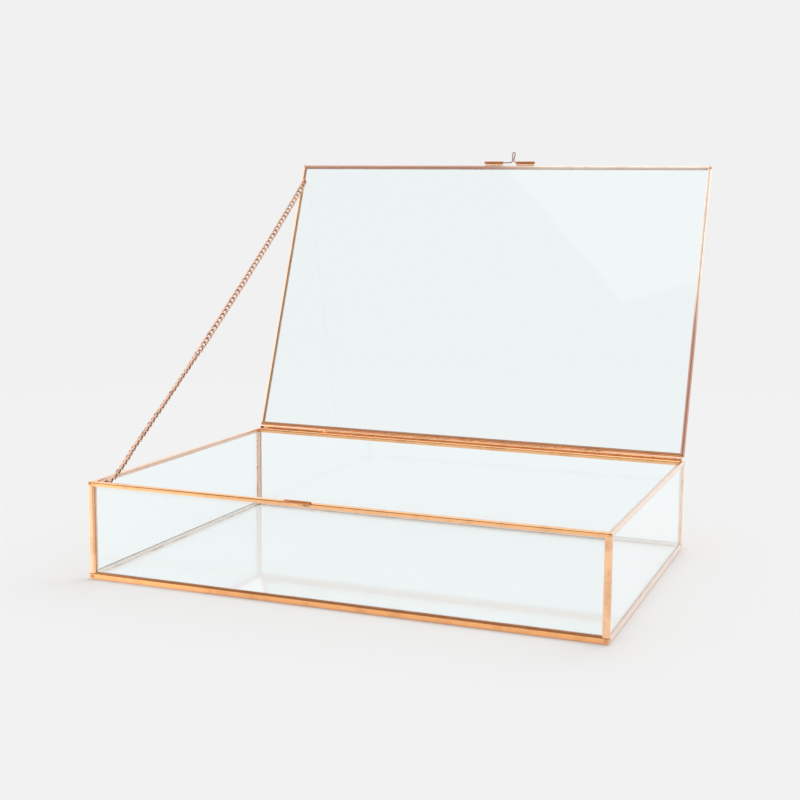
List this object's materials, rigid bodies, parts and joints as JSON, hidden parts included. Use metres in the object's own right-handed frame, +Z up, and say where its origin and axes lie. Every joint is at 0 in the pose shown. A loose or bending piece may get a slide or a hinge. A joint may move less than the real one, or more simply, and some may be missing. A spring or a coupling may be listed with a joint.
{
  "type": "glass casket box",
  "caption": "Shallow rectangular box of clear glass panes in thin rose-gold metal came, with a glass lid on a wire hinge, a stay chain at one side and a small wire loop at the front.",
  "frame": {"origin": "centre of the plane that the tray stands on", "axes": "+Z up; +X to the right along the front; -Y is the front, where the lid opens; the hinge is at +Y"},
  "size_m": [0.3004, 0.2724, 0.2501],
  "materials": {
    "clear_glass": "clear, polished, faintly green-blue",
    "rose_gold_came": "rose-gold plated, satin polish",
    "solder": "plated solder, uneven gloss",
    "fittings": "rose-gold plated tube and wire, a shade darker",
    "chain_metal": "rose-gold plated curb chain"
  },
  "bodies": {
    "tray": {"bottom_glass": "clear_glass", "front_glass": "clear_glass", "back_glass": "clear_glass", "left_glass": "clear_glass", "right_glass": "clear_glass", "bottom_frame": "rose_gold_came", "post_front_left": "rose_gold_came", "post_front_right": "rose_gold_came", "post_back_left": "rose_gold_came", "post_back_right": "rose_gold_came", "rim_front": "rose_gold_came", "rim_back": "rose_gold_came", "rim_left": "rose_gold_came", "rim_right": "rose_gold_came", "solder_bottom_corners": "solder", "solder_rim_corners": "solder", "keeper_tube": "fittings", "tray_chain_eye": "fittings", "hinge_tube_left": "fittings", "hinge_tube_right": "fittings", "hinge_wire": "fittings"},
    "lid": {"lid_glass": "clear_glass", "lid_rail_front": "rose_gold_came", "lid_rail_back": "rose_gold_came", "lid_rail_left": "rose_gold_came", "lid_rail_right": "rose_gold_came", "solder_lid_corners": "solder", "hinge_tube_lid": "fittings", "clasp_tube_left": "fittings", "clasp_tube_right": "fittings", "lid_chain_eye": "fittings"},
    "clasp_loop": {"clasp_loop": "fittings"},
    "chain_lower": {"chain_lower": "chain_metal"},
    "chain_upper": {"chain_upper": "chain_metal"}
  },
  "joints": [
    {"name": "lid_hinge", "type": "hinge", "parent": "tray", "child": "lid", "pos_m": [0, 0.0996, 0.05615], "axis": [1, 0, 0], "range_deg": [0, 110.5]},
    {"name": "clasp_swing", "type": "hinge", "parent": "lid", "child": "clasp_loop", "pos_m": [0.0114, 0.16971, 0.24196], "axis": [1, 0, 0], "range_deg": [-100, 90]},
    {"name": "chain_lower_swing", "type": "hinge", "parent": "tray", "child": "chain_lower", "pos_m": [-0.1424, -0.0889, 0.0537], "axis": [1, 0, 0], "range_deg": [-53, 0]},
    {"name": "chain_upper_swing", "type": "hinge", "parent": "lid", "child": "chain_upper", "pos_m": [-0.1448, 0.16296, 0.22847], "axis": [1, 0, 0], "range_deg": [0, 17]}
  ],
  "couplings": [
    {"joint": "chain_lower_swing", "follows": "lid_hinge", "ratio": -0.4774},
    {"joint": "chain_upper_swing", "follows": "lid_hinge", "ratio": 0.1515}
  ]
}
